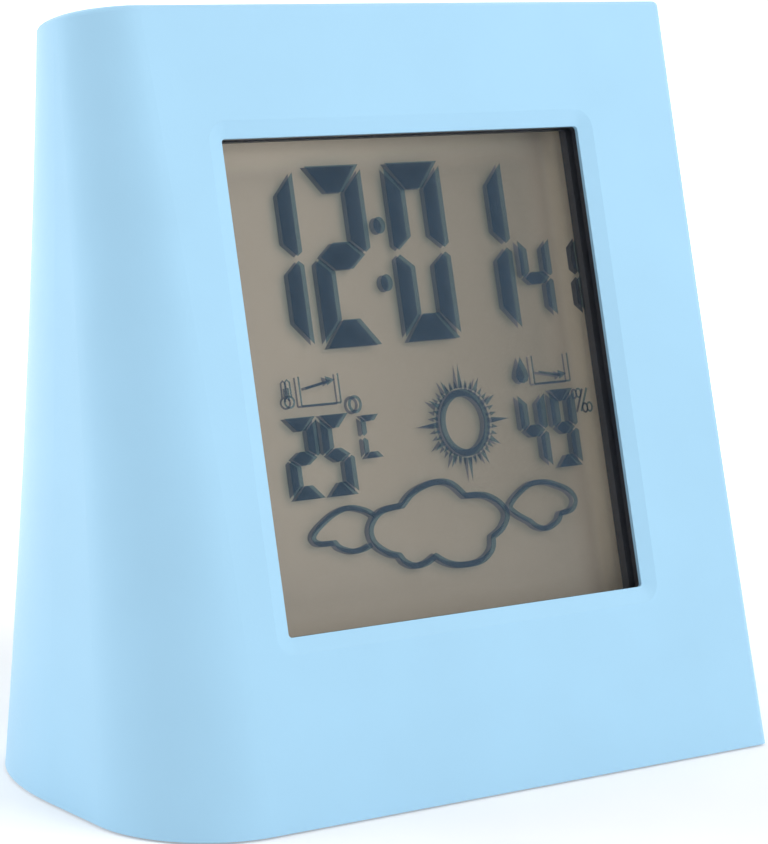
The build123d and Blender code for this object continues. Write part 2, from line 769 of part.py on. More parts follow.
# Rear cover: plate, hooks, battery box, seats for the inner pieces, and the openings through it
with BuildPart() as rear_cover:
    with BuildSketch(rear_plane):
        cover_outline(cover_gap)
    extrude(amount=-rebate_depth)
    with BuildSketch(rear_plane):
        cover_outline(cover_lip + cover_gap)
    extrude(amount=-cover_thickness)
    # Hooks behind the wall above the opening
    hook_start = cover_high - cover_lip - cover_gap
    hook_end = wall + hook_gap + hook_thickness
    with BuildSketch(rear_plane.offset(-rebate_depth)):
        with Locations((-hook_x, hook_start), (hook_x, hook_start)):
            Rectangle(hook_width, hook_root, align=(Align.CENTER, Align.MAX))
    extrude(amount=rebate_depth - hook_end)
    with BuildSketch(rear_plane.offset(hook_thickness - hook_end)):
        with Locations((-hook_x, hook_start - hook_root), (hook_x, hook_start - hook_root)):
            Rectangle(hook_width, hook_root + hook_reach, align=(Align.CENTER, Align.MIN))
    extrude(amount=-hook_thickness)
    # Battery box with a cradle for each cell
    with BuildSketch(rear_plane.offset(-rebate_depth)):
        with Locations((0, bay_rise)):
            Rectangle(bay_length + 2 * bay_wall, bay_height + 2 * bay_wall)
    extrude(amount=rebate_depth - bay_depth - bay_floor)
    with BuildSketch(end_plane(-1).offset(-bay_wall)):
        with GridLocations(cell_spacing, 0, 2, 1):
            Circle(cell_radius + cell_gap + bay_floor)
    extrude(amount=bay_length + 2 * bay_wall)
    with BuildSketch(rear_plane):
        with Locations((0, bay_rise)):
            RectangleRounded(pocket_length, pocket_height, door_radius + door_gap)
    extrude(amount=-pocket_depth, mode=Mode.SUBTRACT)
    with BuildSketch(rear_plane):
        with Locations((0, bay_rise)):
            Rectangle(bay_length, bay_height)
    extrude(amount=-bay_depth, mode=Mode.SUBTRACT)
    with BuildSketch(end_plane(-1)):
        with GridLocations(cell_spacing, 0, 2, 1):
            Circle(cell_radius + cell_gap)
    extrude(amount=bay_length, mode=Mode.SUBTRACT)
    with BuildSketch(end_plane(-1).offset(-bay_wall)):
        with GridLocations(cell_spacing, 0, 2, 1):
            Circle(lead_radius + fit_gap)
    extrude(amount=bay_wall, mode=Mode.SUBTRACT)
    # Slots for the door's tabs, the catch of its latch, and the scoop for a fingertip
    with BuildSketch(rear_plane.offset(-pocket_depth)):
        with Locations((-tab_x, hinge_rise + door_ledge), (tab_x, hinge_rise + door_ledge)):
            Rectangle(tab_width + 2 * tab_side_gap, bay_wall, align=(Align.CENTER, Align.MAX))
    extrude(amount=-tab_slot_height, mode=Mode.SUBTRACT)
    with BuildSketch(rear_plane.offset(-(pocket_depth + catch_ledge))):
        with Locations((0, bay_rise + bay_height / 2)):
            Rectangle(latch_width + 2 * catch_side_gap, catch_depth, align=(Align.CENTER, Align.MIN))
    extrude(amount=-catch_height, mode=Mode.SUBTRACT)
    with BuildSketch(rear_plane):
        with Locations((0, bay_rise + pocket_height / 2)):
            Circle(scoop_radius)
    extrude(amount=-scoop_depth, mode=Mode.SUBTRACT)
    # Button holes and the posts of the key board
    with BuildSketch(rear_plane):
        with Locations(*[(x, button_rise) for x in button_places]):
            Circle(button_radius + button_gap)
    extrude(amount=-cover_thickness, mode=Mode.SUBTRACT)
    with BuildSketch(rear_plane.offset(-rebate_depth)):
        with Locations((-key_post_x, button_rise), (key_post_x, button_rise)):
            Circle(key_post_radius)
    extrude(amount=rebate_depth - key_board_depth)
    with BuildSketch(rear_plane.offset(-key_board_depth)):
        with Locations((-key_post_x, button_rise), (key_post_x, button_rise)):
            Circle(screw_hole_radius)
    extrude(amount=key_screw_bite + screw_gap, mode=Mode.SUBTRACT)
    # Seat and holes of the sounder
    with BuildSketch(rear_plane.offset(-rebate_depth)):
        with Locations((sounder_x, middle_rise)):
            Circle(sounder_radius + fit_gap + sounder_ring_wall)
    extrude(amount=rebate_depth - cover_thickness - sounder_ring_height)
    with BuildSketch(rear_plane.offset(-cover_thickness)):
        with Locations((sounder_x, middle_rise)):
            Circle(sounder_radius - sounder_step_width)
    extrude(amount=-sounder_ring_height, mode=Mode.SUBTRACT)
    with BuildSketch(rear_plane.offset(-(cover_thickness + sounder_step_height))):
        with Locations((sounder_x, middle_rise)):
            Circle(sounder_radius + fit_gap)
    extrude(amount=-sounder_ring_height, mode=Mode.SUBTRACT)
    with BuildSketch(rear_plane):
        with Locations((sounder_x, middle_rise)):
            Circle(sound_hole_radius)
            with PolarLocations(sound_hole_offset, sound_hole_count):
                Circle(sound_hole_radius)
    extrude(amount=-cover_thickness, mode=Mode.SUBTRACT)
    # Vents and the posts of the sensor board
    with BuildSketch(rear_plane):
        with Locations((vent_x, middle_rise)):
            with GridLocations(0, vent_spacing, 1, vent_count):
                SlotOverall(vent_length, vent_width)
    extrude(amount=-cover_thickness, mode=Mode.SUBTRACT)
    with BuildSketch(rear_plane.offset(-rebate_depth)):
        with Locations((vent_x, middle_rise)):
            with GridLocations(sensor_board_width - 2 * sensor_post_inset, 0, 2, 1):
                Circle(sensor_post_radius)
    extrude(amount=rebate_depth - sensor_board_depth)
    with BuildSketch(rear_plane.offset(-sensor_board_depth)):
        with Locations((vent_x, middle_rise)):
            with GridLocations(sensor_board_width - 2 * sensor_post_inset, 0, 2, 1):
                Circle(sensor_pin_radius)
    extrude(amount=-(sensor_board_thickness + sensor_pin_rise))
    # Screw holes
    with BuildSketch(rear_plane):
        with Locations((-cover_screw_x, cover_screw_rise), (cover_screw_x, cover_screw_rise)):
            Circle(screw_hole_radius + fit_gap)
    extrude(amount=-cover_thickness, mode=Mode.SUBTRACT)
    with BuildSketch(rear_plane):
        with Locations((-cover_screw_x, cover_screw_rise), (cover_screw_x, cover_screw_rise)):
            Circle(screw_head_radius + fit_gap)
    extrude(amount=-screw_head_height, mode=Mode.SUBTRACT)
rear_cover.part.label = "rear_cover"
export_step(rear_cover.part, "parts/rear_cover.step")

with BuildPart() as rear_screws:
    make_screws(
        rear_plane.offset(-screw_head_height),
        [(-cover_screw_x, cover_screw_rise), (cover_screw_x, cover_screw_rise)],
        cover_thickness + fit_gap - screw_head_height + screw_bite - screw_gap,
    )
rear_screws.part.label = "rear_screws"
export_step(rear_screws.part, "parts/rear_screws.step")

# Battery door: two tabs below, a springy finger latch above
with BuildPart() as battery_door:
    with BuildSketch(rear_plane):
        with Locations((0, bay_rise)):
            RectangleRounded(pocket_length - 2 * door_gap, pocket_height - 2 * door_gap, door_radius)
    extrude(amount=-door_thickness)
    door_top = bay_rise + pocket_height / 2 - door_gap
    with BuildSketch(rear_plane):
        with Locations((0, door_top)):
            with GridLocations(latch_width + latch_slot_width, 0, 2, 1):
                Rectangle(latch_slot_width, latch_slot_length, align=(Align.CENTER, Align.MAX))
    extrude(amount=-door_thickness, mode=Mode.SUBTRACT)
    with BuildSketch(rear_plane.offset(-door_thickness)):
        with Locations((0, bay_rise + bay_height / 2 - latch_lip_gap)):
            Rectangle(latch_width, latch_lip_width, align=(Align.CENTER, Align.MAX))
    extrude(amount=-latch_lip_height)
    with BuildSketch(rear_plane):
        with Locations((0, door_top - grip_rib_edge_gap - grip_rib_spacing * (grip_rib_count - 1) / 2)):
            with GridLocations(0, grip_rib_spacing, 1, grip_rib_count):
                Rectangle(grip_rib_length, grip_rib_width)
    extrude(amount=grip_rib_height)
    # Tabs: a root behind the door's lower edge and a tongue that reaches under the cover
    tab_end = cover_thickness + tab_gap + tab_thickness
    with BuildSketch(rear_plane.offset(-door_thickness)):
        with Locations((-tab_x, hinge_rise + tab_root), (tab_x, hinge_rise + tab_root)):
            Rectangle(tab_width, tab_root - tab_root_start, align=(Align.CENTER, Align.MAX))
    extrude(amount=door_thickness - tab_end)
    with BuildSketch(rear_plane.offset(tab_thickness - tab_end)):
        with Locations((-tab_x, hinge_rise + tab_root), (tab_x, hinge_rise + tab_root)):
            Rectangle(tab_width, tab_root + tab_reach, align=(Align.CENTER, Align.MAX))
    extrude(amount=-tab_thickness)
battery_door.part.label = "battery_door"
export_step(battery_door.part, "parts/battery_door.step")

# Cells and their contacts
with BuildPart() as battery_cell_upper:
    make_cell(1)
battery_cell_upper.part.label = "battery_cell_upper"
export_step(battery_cell_upper.part, "parts/battery_cell_upper.step")

with BuildPart() as battery_cell_lower:
    make_cell(-1)
battery_cell_lower.part.label = "battery_cell_lower"
export_step(battery_cell_lower.part, "parts/battery_cell_lower.step")

with BuildPart() as contact_positive:
    make_contact_plate(-1, -cell_spacing / 2)
    make_contact_bump(-1)
contact_positive.part.label = "contact_positive"
export_step(contact_positive.part, "parts/contact_positive.step")

with BuildPart() as contact_negative:
    make_contact_plate(-1, cell_spacing / 2)
    make_contact_spring(-1)
contact_negative.part.label = "contact_negative"
export_step(contact_negative.part, "parts/contact_negative.step")

with BuildPart() as contact_bridge:
    make_contact_plate(1, -cell_spacing / 2)
    make_contact_plate(1, cell_spacing / 2)
    with BuildSketch(end_plane(1)):
        Rectangle(cell_spacing, contact_size / 2, align=(Align.CENTER, Align.MIN))
    extrude(amount=contact_thickness)
    make_contact_bump(1)
    make_contact_spring(1)
contact_bridge.part.label = "contact_bridge"
export_step(contact_bridge.part, "parts/contact_bridge.step")

# Push buttons, key pad and key board
with BuildPart() as button_mode:
    make_button(button_places[0])
button_mode.part.label = "button_mode"
export_step(button_mode.part, "parts/button_mode.step")

with BuildPart() as button_set:
    make_button(button_places[1])
button_set.part.label = "button_set"
export_step(button_set.part, "parts/button_set.step")

with BuildPart() as button_up:
    make_button(button_places[2])
button_up.part.label = "button_up"
export_step(button_up.part, "parts/button_up.step")

with BuildPart() as button_down:
    make_button(button_places[3])
button_down.part.label = "button_down"
export_step(button_down.part, "parts/button_down.step")

with BuildPart() as key_pad:
    with BuildSketch(rear_plane.offset(-key_board_depth)):
        with Locations((0, button_rise)):
            RectangleRounded(pad_width, pad_height, pad_corner_radius)
        with Locations((-key_post_x, button_rise), (key_post_x, button_rise)):
            Circle(key_post_radius + fit_gap, mode=Mode.SUBTRACT)
    extrude(amount=pad_thickness)
    with BuildSketch(rear_plane.offset(-key_board_depth)):
        with Locations(*[(x, button_rise) for x in button_places]):
            Circle(button_pill_radius + pad_collar_gap + pad_collar_wall)
    extrude(amount=pad_thickness + pad_collar_rise)
    with BuildSketch(rear_plane.offset(-key_board_depth)):
        with Locations(*[(x, button_rise) for x in button_places]):
            Circle(button_pill_radius + pad_collar_gap)
    extrude(amount=pad_thickness + pad_collar_rise, mode=Mode.SUBTRACT)
key_pad.part.label = "key_pad"
export_step(key_pad.part, "parts/key_pad.step")

with BuildPart() as key_board:
    with BuildSketch(rear_plane.offset(-key_board_depth)):
        with Locations((0, button_rise)):
            Rectangle(key_board_width, key_board_height)
        with Locations((-key_post_x, button_rise), (key_post_x, button_rise)):
            Circle(screw_hole_radius + fit_gap, mode=Mode.SUBTRACT)
    extrude(amount=-key_board_thickness)
key_board.part.label = "key_board"
export_step(key_board.part, "parts/key_board.step")

with BuildPart() as key_board_screws:
    make_screws(
        Plane(
            origin=rear_plane.from_local_coords((0, button_rise, -(key_board_depth + key_board_thickness))),
            x_dir=rear_plane.x_dir,
            z_dir=-rear_plane.z_dir,
        ),
        [(-key_post_x, 0), (key_post_x, 0)],
        key_board_thickness + key_screw_bite,
    )
key_board_screws.part.label = "key_board_screws"
export_step(key_board_screws.part, "parts/key_board_screws.step")

# Sounder
with BuildPart() as sounder_plate:
    with BuildSketch(rear_plane.offset(-(cover_thickness + sounder_step_height))):
        with Locations((sounder_x, middle_rise)):
            Circle(sounder_radius)
    extrude(amount=-sounder_plate_thickness)
sounder_plate.part.label = "sounder_plate"
export_step(sounder_plate.part, "parts/sounder_plate.step")

with BuildPart() as sounder_ceramic:
    with BuildSketch(rear_plane.offset(-(cover_thickness + sounder_step_height + sounder_plate_thickness))):
        with Locations((sounder_x, middle_rise)):
            Circle(ceramic_radius)
    extrude(amount=-ceramic_thickness)
sounder_ceramic.part.label = "sounder_ceramic"
export_step(sounder_ceramic.part, "parts/sounder_ceramic.step")

# Sensor board, with the sensors on the side that faces the vents
with BuildPart() as sensor_board:
    with BuildSketch(rear_plane.offset(-sensor_board_depth)):
        with Locations((vent_x, middle_rise)):
            Rectangle(sensor_board_width, sensor_board_height)
            with GridLocations(sensor_board_width - 2 * sensor_post_inset, 0, 2, 1):
                Circle(sensor_pin_radius + fit_gap, mode=Mode.SUBTRACT)
    extrude(amount=-sensor_board_thickness)
sensor_board.part.label = "sensor_board"
export_step(sensor_board.part, "parts/sensor_board.step")

with BuildPart() as humidity_sensor:
    with BuildSketch(rear_plane.offset(-sensor_board_depth)):
        with Locations((vent_x + humidity_shift, middle_rise)):
            Rectangle(humidity_width, humidity_height)
    extrude(amount=humidity_thickness)
    with BuildSketch(rear_plane.offset(humidity_thickness - sensor_board_depth)):
        with Locations((vent_x + humidity_shift, middle_rise)):
            with GridLocations(0, humidity_grille_spacing, 1, humidity_grille_count):
                Rectangle(humidity_grille_length, humidity_grille_width)
    extrude(amount=-humidity_grille_depth, mode=Mode.SUBTRACT)
humidity_sensor.part.label = "humidity_sensor"
export_step(humidity_sensor.part, "parts/humidity_sensor.step")

with BuildPart() as thermistor:
    bead_start = (
        vent_x + thermistor_shift,
        middle_rise - thermistor_length / 2,
        thermistor_radius - sensor_board_depth,
    )
    with BuildSketch(
        Plane(
            origin=rear_plane.from_local_coords(bead_start),
            x_dir=rear_plane.x_dir,
            z_dir=rear_plane.y_dir,
        )
    ):
        Circle(thermistor_radius)
    extrude(amount=thermistor_length)
    fillet(thermistor.edges().filter_by(GeomType.CIRCLE), radius=thermistor_edge_radius)
thermistor.part.label = "thermistor"
export_step(thermistor.part, "parts/thermistor.step")

# Ribbon between the boards, and the battery leads
with BuildPart() as ribbon:
    key_depth = key_board_depth + key_board_thickness
    main_end = face_plane.from_local_coords((0, ribbon_face_rise, -board_rear))
    key_end = rear_plane.from_local_coords((0, button_rise - ribbon_board_drop, -key_depth))
    gap = key_end.Y - main_end.Y
    straight = gap * ribbon_straight_share
    main_turn = face_plane.from_local_coords((0, ribbon_face_rise, -(board_rear + straight)))
    key_turn = rear_plane.from_local_coords((0, button_rise - ribbon_board_drop, -(key_depth + straight)))
    low_y = (main_turn.Y + key_turn.Y) / 2
    low_z = min(main_turn.Z, key_turn.Z) - gap * ribbon_sag_share
    with BuildSketch(Plane.YZ.offset(middle_x - ribbon_width / 2)):
        with BuildLine():
            FilletPolyline(
                (main_end.Y, main_end.Z),
                (main_turn.Y, main_turn.Z),
                (low_y, low_z),
                (key_turn.Y, key_turn.Z),
                (key_end.Y, key_end.Z),
                radius=gap * ribbon_radius_share,
            )
        trace(line_width=ribbon_thickness)
    extrude(amount=ribbon_width)
ribbon.part.label = "ribbon"
export_step(ribbon.part, "parts/ribbon.step")

with BuildPart() as battery_lead_red:
    make_lead(-cell_spacing / 2, lead_board_rises[0], lead_radii)
battery_lead_red.part.label = "battery_lead_red"
export_step(battery_lead_red.part, "parts/battery_lead_red.step")

with BuildPart() as battery_lead_black:
    make_lead(cell_spacing / 2, lead_board_rises[1], lead_radii)
battery_lead_black.part.label = "battery_lead_black"
export_step(battery_lead_black.part, "parts/battery_lead_black.step")
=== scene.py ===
import math

import bmesh
import bpy
from mathutils import Matrix, Vector


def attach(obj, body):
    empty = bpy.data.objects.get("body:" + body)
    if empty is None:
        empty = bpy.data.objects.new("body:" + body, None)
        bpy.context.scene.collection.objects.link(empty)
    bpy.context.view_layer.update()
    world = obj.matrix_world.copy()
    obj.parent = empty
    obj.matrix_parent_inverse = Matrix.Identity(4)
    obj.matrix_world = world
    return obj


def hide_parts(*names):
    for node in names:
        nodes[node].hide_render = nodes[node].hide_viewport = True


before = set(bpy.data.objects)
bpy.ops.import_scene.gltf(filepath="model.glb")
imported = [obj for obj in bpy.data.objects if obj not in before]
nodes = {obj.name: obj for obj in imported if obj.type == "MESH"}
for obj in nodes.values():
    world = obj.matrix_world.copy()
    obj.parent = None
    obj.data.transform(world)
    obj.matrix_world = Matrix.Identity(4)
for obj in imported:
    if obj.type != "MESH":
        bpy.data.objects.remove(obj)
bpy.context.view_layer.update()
MM = 0.001


def placed(name, data):
    """A new object with that data, in the scene."""
    made = bpy.data.objects.new(name, data)
    bpy.context.scene.collection.objects.link(made)
    return made


# Camera at the photograph's viewing angle
YAW, PITCH, ROLL = math.radians(36.0), math.radians(9.34), math.radians(-0.92)
DISTANCE = 429.6 * MM
LOOK_AT = Vector((5.88, 4.10, 43.84)) * MM
SENSOR_MM = 36.0
LENS_MM = 135.73
CLIP_NEAR, CLIP_FAR = 0.01, 50.0

forward = Vector((
    math.sin(YAW) * math.cos(PITCH),
    math.cos(YAW) * math.cos(PITCH),
    -math.sin(PITCH),
))
level = Vector((math.cos(YAW), -math.sin(YAW), 0.0))
down = forward.cross(level)
right = math.cos(ROLL) * level + math.sin(ROLL) * down
below = -math.sin(ROLL) * level + math.cos(ROLL) * down
camera_data = bpy.data.cameras.new("camera")
camera_data.sensor_fit = "AUTO"
camera_data.sensor_width = SENSOR_MM
camera_data.lens = LENS_MM
camera_data.clip_start = CLIP_NEAR
camera_data.clip_end = CLIP_FAR
camera = placed("camera", camera_data)
stand = Matrix((right, -below, -forward)).transposed().to_4x4()
stand.translation = LOOK_AT - forward * DISTANCE
camera.matrix_world = stand
bpy.context.scene.camera = camera
bpy.context.scene.view_settings.view_transform = "Standard"

# Material tools
WHITE = (1.0, 1.0, 1.0, 1.0)
MIX_FIRST, MIX_SECOND, MIX_RESULT = 6, 7, 2  # The colour sockets of a Mix node


def linear(red, green, blue):
    """A colour given in 0 to 255 screen values, as Blender's linear values."""
    shares = [c / 255 for c in (red, green, blue)]
    return [s / 12.92 if s <= 0.04045 else ((s + 0.055) / 1.055) ** 2.4 for s in shares] + [1.0]


def scaled(colour, factor):
    return [min(1.0, c * factor) for c in colour[:3]] + [1.0]


def new_material(name):
    made = bpy.data.materials.new(name)
    made.use_nodes = True
    tree = made.node_tree
    tree.nodes.clear()
    output = tree.nodes.new("ShaderNodeOutputMaterial")
    shader = tree.nodes.new("ShaderNodeBsdfPrincipled")
    tree.links.new(shader.outputs["BSDF"], output.inputs["Surface"])
    return made, tree, shader, output


def feed(tree, value, socket):
    """Gives an input a plain value, or links it to another node's output."""
    if isinstance(value, bpy.types.NodeSocket):
        tree.links.new(value, socket)
    else:
        socket.default_value = value


def place_on_object(tree):
    return tree.nodes.new("ShaderNodeTexCoord").outputs["Object"]


def noise_of(tree, size_mm, detail=2.0, stretch=(1.0, 1.0, 1.0)):
    """A noise pattern in the piece's own coordinates, with features of that size."""
    mapping = tree.nodes.new("ShaderNodeMapping")
    mapping.inputs["Scale"].default_value = stretch
    noise = tree.nodes.new("ShaderNodeTexNoise")
    noise.inputs["Scale"].default_value = 1.0 / (size_mm * MM)
    noise.inputs["Detail"].default_value = detail
    tree.links.new(place_on_object(tree), mapping.inputs["Vector"])
    tree.links.new(mapping.outputs["Vector"], noise.inputs["Vector"])
    return noise.outputs["Fac"]


def ranged(tree, value, low, high, start=0.3, end=0.7, kind="LINEAR"):
    """A value that runs from low to high while the socket runs from start to end."""
    node = tree.nodes.new("ShaderNodeMapRange")
    node.interpolation_type = kind
    node.inputs["From Min"].default_value = start
    node.inputs["From Max"].default_value = end
    node.inputs["To Min"].default_value = low
    node.inputs["To Max"].default_value = high
    tree.links.new(value, node.inputs["Value"])
    return node.outputs["Result"]


def calculated(tree, operation, *values, clamp=False):
    """The result of a Math node. Each value is a socket or a plain number."""
    node = tree.nodes.new("ShaderNodeMath")
    node.operation = operation
    node.use_clamp = clamp
    for value, socket in zip(values, node.inputs):
        feed(tree, value, socket)
    return node.outputs["Value"]


def mixed(tree, factor, first, second):
    """Two colours, each a socket or a plain colour, mixed by a factor's socket."""
    node = tree.nodes.new("ShaderNodeMix")
    node.data_type = "RGBA"
    feed(tree, factor, node.inputs["Factor"])
    feed(tree, first, node.inputs[MIX_FIRST])
    feed(tree, second, node.inputs[MIX_SECOND])
    return node.outputs[MIX_RESULT]


def show_both(tree, output, factor, first, second):
    """Shows two shaders mixed by a factor, which is a socket or a plain number."""
    node = tree.nodes.new("ShaderNodeMixShader")
    feed(tree, factor, node.inputs["Fac"])
    tree.links.new(first, node.inputs[1])
    tree.links.new(second, node.inputs[2])
    tree.links.new(node.outputs["Shader"], output.inputs["Surface"])


def bumped(tree, height, depth_mm):
    node = tree.nodes.new("ShaderNodeBump")
    node.inputs["Strength"].default_value = 1.0
    node.inputs["Distance"].default_value = depth_mm * MM
    tree.links.new(height, node.inputs["Height"])
    return node.outputs["Normal"]


def moulded(name, colour, rough, grain_mm=0.35, depth_mm=0.006, drift=0.02, drift_mm=18.0,
            metallic=0.0, stretch=(1.0, 1.0, 1.0)):
    """A moulded, pressed or plated surface, with a screen colour that drifts a little.

    Its fine grain has a size and a depth, and makes the gloss slightly uneven.
    """
    grain_detail = 3.0
    gloss_spread = 0.05
    made, tree, shader, _ = new_material(name)
    base = linear(*colour)
    drifting = ranged(tree, noise_of(tree, drift_mm), 0.0, 1.0)
    tone = mixed(tree, drifting, scaled(base, 1 - drift), scaled(base, 1 + drift))
    tree.links.new(tone, shader.inputs["Base Color"])
    grain = noise_of(tree, grain_mm, grain_detail, stretch)
    gloss = ranged(tree, grain, rough - gloss_spread, rough + gloss_spread)
    tree.links.new(gloss, shader.inputs["Roughness"])
    tree.links.new(bumped(tree, grain, depth_mm), shader.inputs["Normal"])
    shader.inputs["Metallic"].default_value = metallic
    return made


SURFACES = {
    "casing_blue": dict(colour=(175, 223, 252), rough=0.42),
    "cover_blue": dict(colour=(172, 221, 251), rough=0.45),
    "button_white": dict(colour=(238, 241, 243), rough=0.4),
    "dark_frame": dict(colour=(34, 38, 48), rough=0.5, grain_mm=0.3, depth_mm=0.008),
    "soft_strip": dict(
        colour=(205, 208, 206), rough=0.7, grain_mm=0.5, depth_mm=0.01, stretch=(8.0, 1.0, 1.0)
    ),
    "foot_rubber": dict(colour=(92, 94, 98), rough=0.72, grain_mm=0.4, depth_mm=0.015, drift=0.05),
    "pad_rubber": dict(
        colour=(190, 196, 200), rough=0.68, grain_mm=0.4, depth_mm=0.012, drift=0.04
    ),
    "board_green": dict(
        colour=(34, 92, 58), rough=0.38, grain_mm=0.8, depth_mm=0.02, drift=0.16, drift_mm=3.0
    ),
    "chip_black": dict(colour=(28, 28, 30), rough=0.3, grain_mm=1.6, depth_mm=0.05, drift=0.1),
    "can_metal": dict(
        colour=(190, 190, 186), rough=0.3, grain_mm=0.2, depth_mm=0.004, metallic=1.0
    ),
    "screw_steel": dict(
        colour=(178, 180, 182), rough=0.32, grain_mm=0.15, depth_mm=0.006, drift=0.06,
        drift_mm=1.5, metallic=1.0
    ),
    "contact_steel": dict(
        colour=(200, 198, 190), rough=0.26, grain_mm=0.2, depth_mm=0.004, drift=0.05,
        drift_mm=3.0, metallic=1.0
    ),
    "sounder_brass": dict(
        colour=(206, 172, 98), rough=0.34, grain_mm=0.25, depth_mm=0.005, drift=0.06,
        drift_mm=4.0, metallic=1.0
    ),
    "sounder_ceramic": dict(
        colour=(226, 222, 210), rough=0.55, grain_mm=0.2, depth_mm=0.004, drift=0.05
    ),
    "sensor_white": dict(colour=(236, 236, 230), rough=0.5, grain_mm=0.3, depth_mm=0.006),
    "bead_black": dict(colour=(32, 32, 34), rough=0.36, grain_mm=0.3, depth_mm=0.006),
    "ribbon_grey": dict(
        colour=(150, 154, 158), rough=0.5, grain_mm=0.6, depth_mm=0.01, drift=0.08, drift_mm=1.2,
        stretch=(1.0, 6.0, 6.0)
    ),
    "lead_red": dict(colour=(188, 38, 34), rough=0.42, grain_mm=0.4, depth_mm=0.008, drift=0.05),
    "lead_black": dict(colour=(34, 34, 36), rough=0.42, grain_mm=0.4, depth_mm=0.008, drift=0.05),
    "cell_skin": dict(colour=(58, 62, 70), rough=0.3, grain_mm=0.3, depth_mm=0.004, drift=0.04),
    "display_glass": dict(
        colour=(150, 172, 165), rough=0.18, grain_mm=0.4, depth_mm=0.001, drift=0.05
    ),
    "display_edge": dict(
        colour=(36, 42, 54), rough=0.3, grain_mm=0.4, depth_mm=0.002, drift=0.05
    ),
    # Painted shadow: the colour of the display signs' shadow on the grey sheet
    "shadow_ink": dict(
        colour=(78, 80, 86), rough=0.6, grain_mm=0.25, depth_mm=0.002, drift=0.05, drift_mm=1.5
    ),
}
materials = {name: moulded(name, **surface) for name, surface in SURFACES.items()}


# Display materials
def see_through(name, tint, gloss_share, rough):
    """Thin clear sheet: light passes straight through, and the surface keeps a smeared gloss.

    The gloss is least where the sheet is seen straight on and grows towards its edge-on view.
    """
    steepness, gloss_gain, least_gloss = 4.0, 0.9, 0.05
    smear_mm, smear_share = 9.0, 0.1
    made, tree, shader, output = new_material(name)
    shader.inputs["Base Color"].default_value = tint
    shader.inputs["Roughness"].default_value = rough
    clear = tree.nodes.new("ShaderNodeBsdfTransparent")
    facing = tree.nodes.new("ShaderNodeLayerWeight").outputs["Facing"]
    steep = calculated(tree, "POWER", facing, steepness)
    sheen = calculated(tree, "MULTIPLY_ADD", steep, gloss_gain, least_gloss)
    smear = ranged(
        tree, noise_of(tree, smear_mm),
        (1 - smear_share) * gloss_share, (1 + smear_share) * gloss_share,
    )
    amount = calculated(tree, "MULTIPLY", sheen, smear)
    show_both(tree, output, amount, clear.outputs["BSDF"], shader.outputs["BSDF"])
    return made


def grey_sheet(name):
    """The grey-brown sheet behind the liquid crystal, with fine sparkle and painted shade across
    it.

    It is painted darker towards its right. The walls round the sheet shade its borders, and painted
    light raises its tone there, so that it looks even.
    """
    made, tree, shader, _ = new_material(name)
    split = tree.nodes.new("ShaderNodeSeparateXYZ")
    tree.links.new(place_on_object(tree), split.inputs["Vector"])
    left_end, right_end = -32 * MM, 22 * MM
    across = ranged(tree, split.outputs["X"], 0.0, 1.0, left_end, right_end)
    # Painted shade: the sheet's tone, and the painted light tone its borders rise to, darken from
    # left to right
    tone = mixed(tree, across, linear(163, 154, 140), linear(119, 113, 101))
    painted_light_tone = mixed(tree, across, linear(248, 234, 212), linear(181, 173, 156))
    # Painted light against the shade of the walls, in rows of: axis, where the rise starts and ends
    # in millimetres, its share, and the painted tone that it rises to
    for axis, first, last, share, painted_lift in (
        ("Z", 40.0, 20.0, 0.75, linear(146, 139, 127)),
        ("Z", 26.0, 21.0, 0.2, painted_light_tone),
        ("Z", 77.5, 83.5, 1.0, painted_light_tone),
        ("X", 23.0, 31.0, 1.0, linear(155, 144, 128)),
        ("X", 27.5, 32.3, 1.0, linear(249, 234, 205)),
    ):
        painted_lift_share = ranged(
            tree, split.outputs[axis], 0.0, share, first * MM, last * MM, "SMOOTHSTEP"
        )
        tone = mixed(tree, painted_lift_share, tone, painted_lift)
    sparkle_mm, sparkle_share = 0.25, 0.12
    sparkle = ranged(tree, noise_of(tree, sparkle_mm), 0.0, sparkle_share, 0.4, 0.75)
    sparkling = mixed(tree, sparkle, tone, linear(170, 165, 154))
    tree.links.new(sparkling, shader.inputs["Base Color"])
    gloss_mm, least_rough, most_rough = 0.3, 0.5, 0.62
    gloss = ranged(tree, noise_of(tree, gloss_mm), least_rough, most_rough)
    tree.links.new(gloss, shader.inputs["Roughness"])
    shader.inputs["Metallic"].default_value = 0.3
    return made


def stain(name, colour, through, opacity):
    """A display segment: it tints what lies behind it and adds a little of its own colour."""
    mottle_mm, mottle_share = 1.2, 0.1
    made, tree, shader, output = new_material(name)
    mottle = ranged(tree, noise_of(tree, mottle_mm), 0.0, 1.0)
    pale, strong = scaled(colour, 1 - mottle_share), scaled(colour, 1 + mottle_share)
    tree.links.new(mixed(tree, mottle, pale, strong), shader.inputs["Base Color"])
    shader.inputs["Roughness"].default_value = 0.5
    shader.inputs["Specular IOR Level"].default_value = 0.1
    clear = tree.nodes.new("ShaderNodeBsdfTransparent")
    clear.inputs["Color"].default_value = through
    show_both(tree, output, opacity, clear.outputs["BSDF"], shader.outputs["BSDF"])
    return made


materials["clear_lens"] = see_through(
    "clear_lens", linear(235, 240, 245), gloss_share=0.3, rough=0.12
)
materials["reflector"] = grey_sheet("reflector")
sign_ink = stain(
    "sign_ink", colour=[0.004, 0.02, 0.055, 1.0], through=[0.58, 0.88, 1.0, 1.0], opacity=0.46
)

for node in nodes.values():
    for slot in node.material_slots:
        slot.material = materials[slot.material.name.split(".")[0]]

# The leaning face and its window, in millimetres: the window's middle across and along the face,
# the face's foot, and the window's size
LEAN = math.radians(15.0)
WINDOW_X, WINDOW_UP = 2.05, 55.06
FRONT_Y, FOOT_Z = -28.0, 0.3
WINDOW_WIDTH, WINDOW_HEIGHT = 57.2, 62.73


